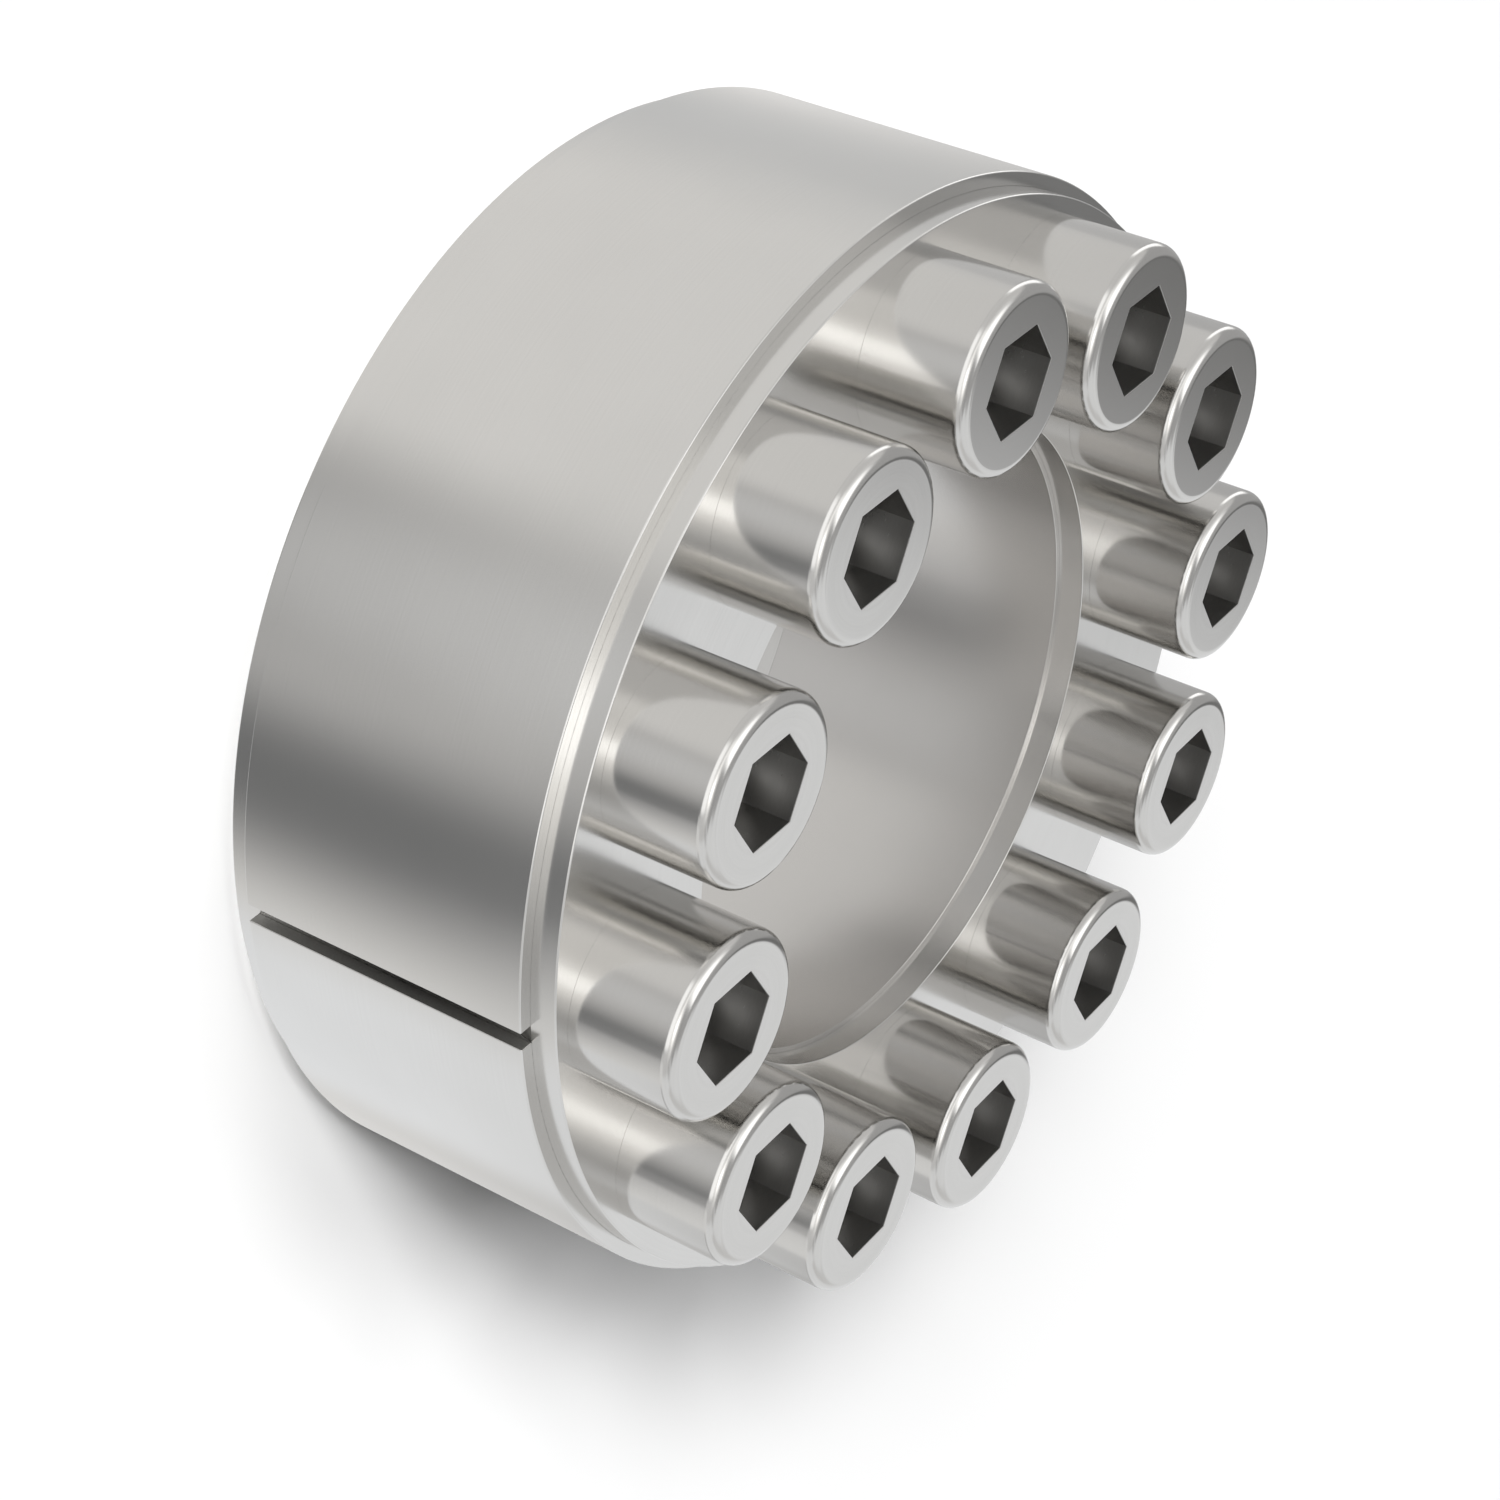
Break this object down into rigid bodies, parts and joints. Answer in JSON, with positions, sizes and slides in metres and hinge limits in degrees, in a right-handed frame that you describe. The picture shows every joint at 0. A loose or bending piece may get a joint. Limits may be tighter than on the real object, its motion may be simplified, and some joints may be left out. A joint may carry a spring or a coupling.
{
  "type": "keyless locking assembly",
  "caption": "Double-taper keyless locking assembly: slit inner and outer rings, front and rear thrust rings, and a circle of socket head cap screws.",
  "frame": {"origin": "on the shaft axis, in the rear face that it stands on", "axes": "+Z along the shaft axis towards the screw heads, -Y towards the slits of the two clamping rings, +X towards screw_01"},
  "size_m": [0.06, 0.06, 0.026],
  "materials": {
    "rear_thrust_ring": "fine turned, polished",
    "outer_ring": "fine turned, polished",
    "inner_ring": "fine turned, polished",
    "front_thrust_ring": "mirror polished face",
    "screw": "polished heads"
  },
  "bodies": {
    "rear_ring": {"rear_thrust_ring": "rear_thrust_ring"},
    "outer": {"outer_ring": "outer_ring"},
    "inner": {"inner_ring": "inner_ring"},
    "front_ring": {"front_thrust_ring": "front_thrust_ring"},
    "screw_01": {"screw_01": "screw"},
    "screw_02": {"screw_02": "screw"},
    "screw_03": {"screw_03": "screw"},
    "screw_04": {"screw_04": "screw"},
    "screw_05": {"screw_05": "screw"},
    "screw_06": {"screw_06": "screw"},
    "screw_07": {"screw_07": "screw"},
    "screw_08": {"screw_08": "screw"},
    "screw_09": {"screw_09": "screw"},
    "screw_10": {"screw_10": "screw"},
    "screw_11": {"screw_11": "screw"},
    "screw_12": {"screw_12": "screw"}
  },
  "joints": [
    {"name": "outer_ring_slide", "type": "slide", "parent": "rear_ring", "child": "outer", "axis": [0, 0, 1], "range_m": [0, 0.003]},
    {"name": "inner_ring_slide", "type": "slide", "parent": "rear_ring", "child": "inner", "axis": [0, 0, 1], "range_m": [0, 0.003]},
    {"name": "front_ring_slide", "type": "slide", "parent": "rear_ring", "child": "front_ring", "axis": [0, 0, 1], "range_m": [0, 0.006]},
    {"name": "screw_01_turn", "type": "hinge", "parent": "front_ring", "child": "screw_01", "pos_m": [0.0235, 0, 0.02], "axis": [0, 0, 1], "range_deg": [0, 2160]},
    {"name": "screw_02_turn", "type": "hinge", "parent": "front_ring", "child": "screw_02", "pos_m": [0.02035, 0.01175, 0.02], "axis": [0, 0, 1], "range_deg": [0, 2160]},
    {"name": "screw_03_turn", "type": "hinge", "parent": "front_ring", "child": "screw_03", "pos_m": [0.01175, 0.02035, 0.02], "axis": [0, 0, 1], "range_deg": [0, 2160]},
    {"name": "screw_04_turn", "type": "hinge", "parent": "front_ring", "child": "screw_04", "pos_m": [0, 0.0235, 0.02], "axis": [0, 0, 1], "range_deg": [0, 2160]},
    {"name": "screw_05_turn", "type": "hinge", "parent": "front_ring", "child": "screw_05", "pos_m": [-0.01175, 0.02035, 0.02], "axis": [0, 0, 1], "range_deg": [0, 2160]},
    {"name": "screw_06_turn", "type": "hinge", "parent": "front_ring", "child": "screw_06", "pos_m": [-0.02035, 0.01175, 0.02], "axis": [0, 0, 1], "range_deg": [0, 2160]},
    {"name": "screw_07_turn", "type": "hinge", "parent": "front_ring", "child": "screw_07", "pos_m": [-0.0235, 0, 0.02], "axis": [0, 0, 1], "range_deg": [0, 2160]},
    {"name": "screw_08_turn", "type": "hinge", "parent": "front_ring", "child": "screw_08", "pos_m": [-0.02035, -0.01175, 0.02], "axis": [0, 0, 1], "range_deg": [0, 2160]},
    {"name": "screw_09_turn", "type": "hinge", "parent": "front_ring", "child": "screw_09", "pos_m": [-0.01175, -0.02035, 0.02], "axis": [0, 0, 1], "range_deg": [0, 2160]},
    {"name": "screw_10_turn", "type": "hinge", "parent": "front_ring", "child": "screw_10", "pos_m": [0, -0.0235, 0.02], "axis": [0, 0, 1], "range_deg": [0, 2160]},
    {"name": "screw_11_turn", "type": "hinge", "parent": "front_ring", "child": "screw_11", "pos_m": [0.01175, -0.02035, 0.02], "axis": [0, 0, 1], "range_deg": [0, 2160]},
    {"name": "screw_12_turn", "type": "hinge", "parent": "front_ring", "child": "screw_12", "pos_m": [0.02035, -0.01175, 0.02], "axis": [0, 0, 1], "range_deg": [0, 2160]}
  ],
  "couplings": [
    {"joint": "screw_01_turn", "follows": "front_ring_slide", "rad_per_m": 6283.2},
    {"joint": "screw_02_turn", "follows": "front_ring_slide", "rad_per_m": 6283.2},
    {"joint": "screw_03_turn", "follows": "front_ring_slide", "rad_per_m": 6283.2},
    {"joint": "screw_04_turn", "follows": "front_ring_slide", "rad_per_m": 6283.2},
    {"joint": "screw_05_turn", "follows": "front_ring_slide", "rad_per_m": 6283.2},
    {"joint": "screw_06_turn", "follows": "front_ring_slide", "rad_per_m": 6283.2},
    {"joint": "screw_07_turn", "follows": "front_ring_slide", "rad_per_m": 6283.2},
    {"joint": "screw_08_turn", "follows": "front_ring_slide", "rad_per_m": 6283.2},
    {"joint": "screw_09_turn", "follows": "front_ring_slide", "rad_per_m": 6283.2},
    {"joint": "screw_10_turn", "follows": "front_ring_slide", "rad_per_m": 6283.2},
    {"joint": "screw_11_turn", "follows": "front_ring_slide", "rad_per_m": 6283.2},
    {"joint": "screw_12_turn", "follows": "front_ring_slide", "rad_per_m": 6283.2},
    {"joint": "outer_ring_slide", "follows": "front_ring_slide", "ratio": 0.5},
    {"joint": "inner_ring_slide", "follows": "front_ring_slide", "ratio": 0.5}
  ]
}
